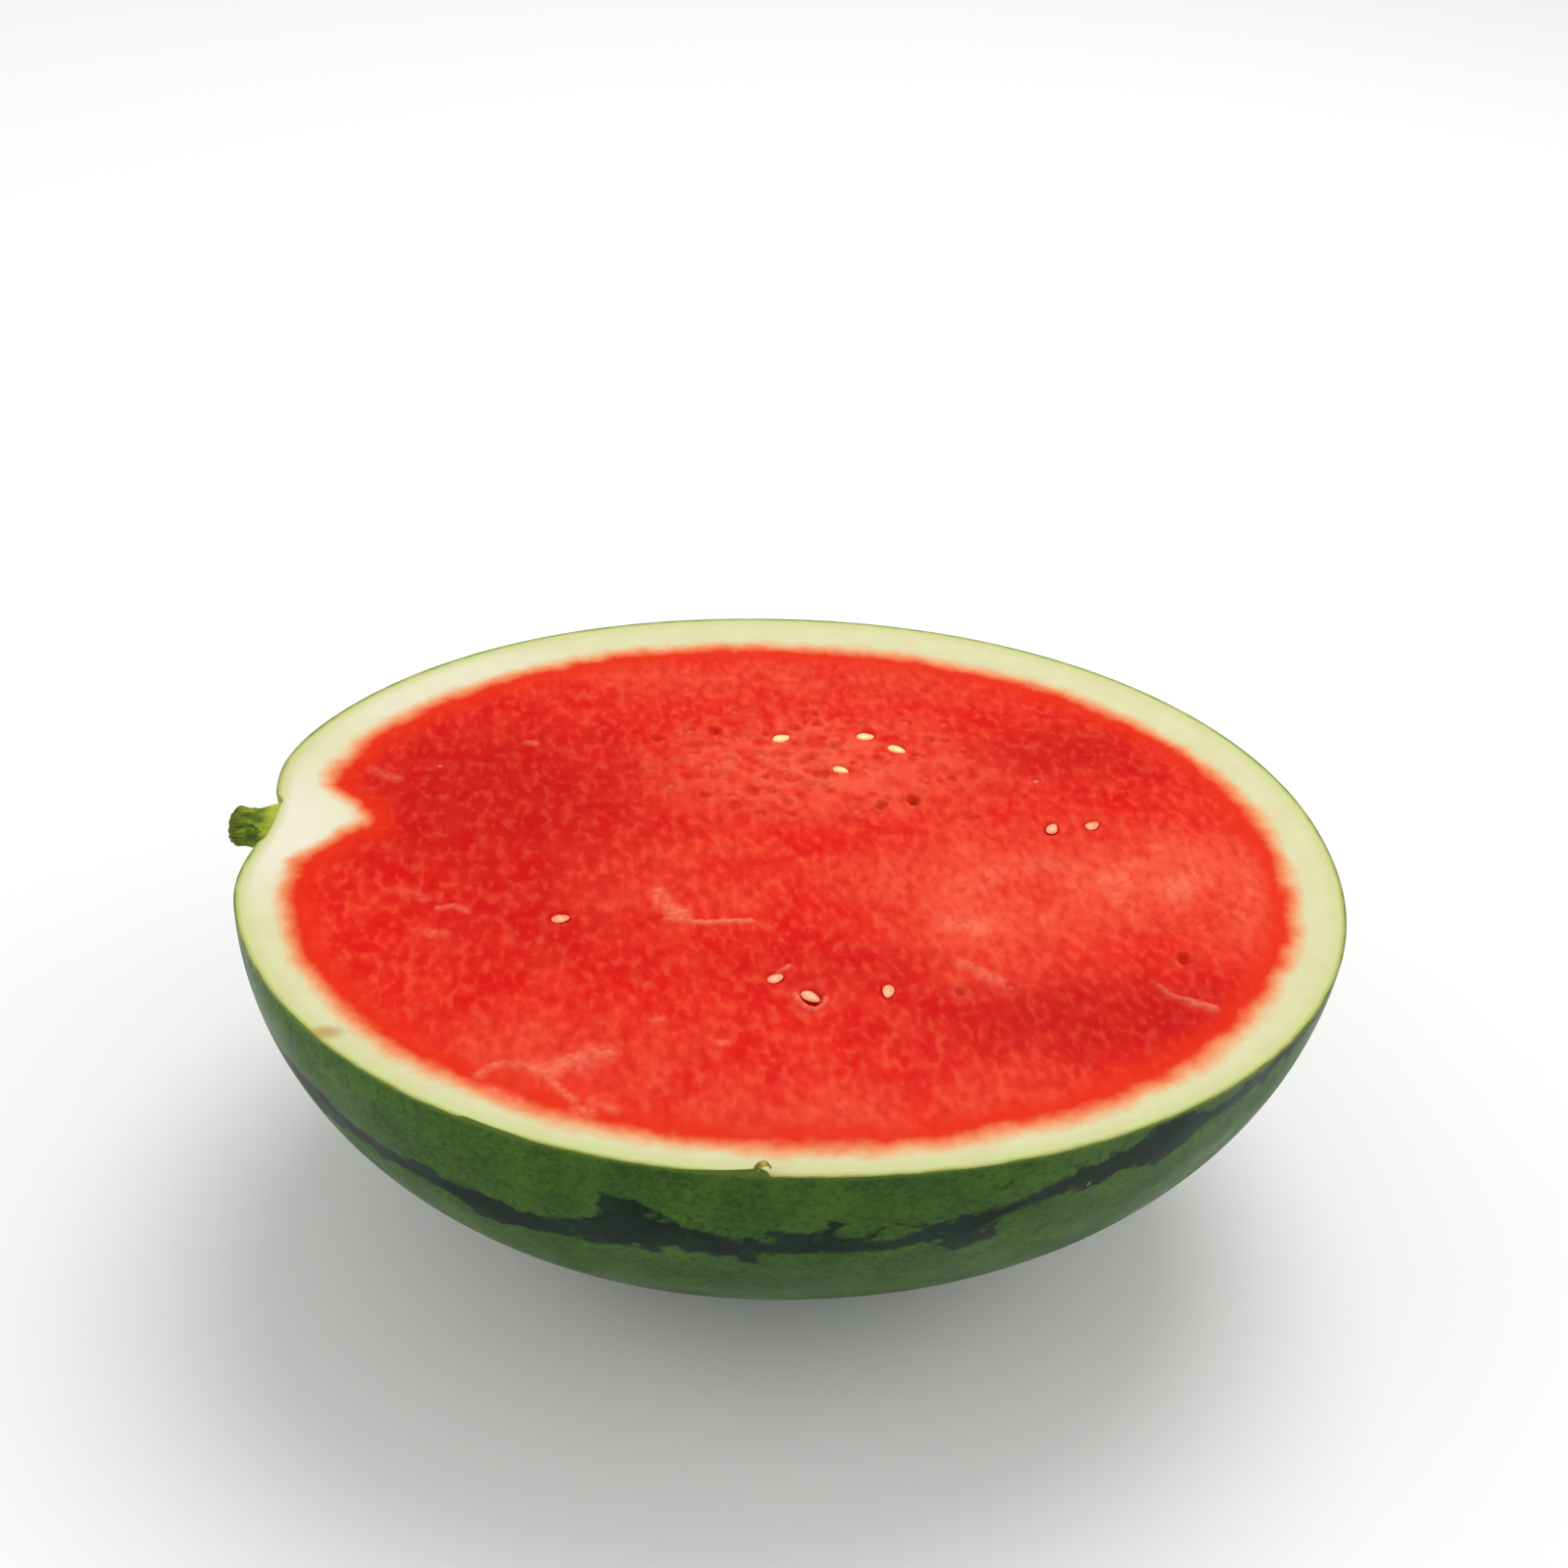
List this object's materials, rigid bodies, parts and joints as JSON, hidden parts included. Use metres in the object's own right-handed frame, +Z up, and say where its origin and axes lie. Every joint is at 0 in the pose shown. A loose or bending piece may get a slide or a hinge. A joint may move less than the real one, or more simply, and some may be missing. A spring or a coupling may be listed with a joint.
{
  "type": "watermelon half",
  "caption": "Half of an oval watermelon, cut lengthwise and lying cut face up, with a short stalk stub and small pale seeds in the red flesh.",
  "frame": {"origin": "on the ground, under the middle of the whole object's box", "axes": "+X from the stalk to the blossom end, +Z up through the cut face, -Y the long side nearest the viewer"},
  "size_m": [0.3028, 0.236, 0.1172],
  "materials": {
    "melon": "moist red flesh in a cream rind, with striped, waxy green skin outside",
    "stalk": "dry olive green stalk",
    "seed": "smooth cream seed coat"
  },
  "bodies": {
    "root": {"melon_half": "melon", "stem_stub": "stalk", "seed_1": "seed", "seed_2": "seed", "seed_3": "seed", "seed_4": "seed", "seed_5": "seed", "seed_6": "seed", "seed_7": "seed", "seed_8": "seed", "seed_9": "seed", "seed_10": "seed"}
  },
  "joints": []
}
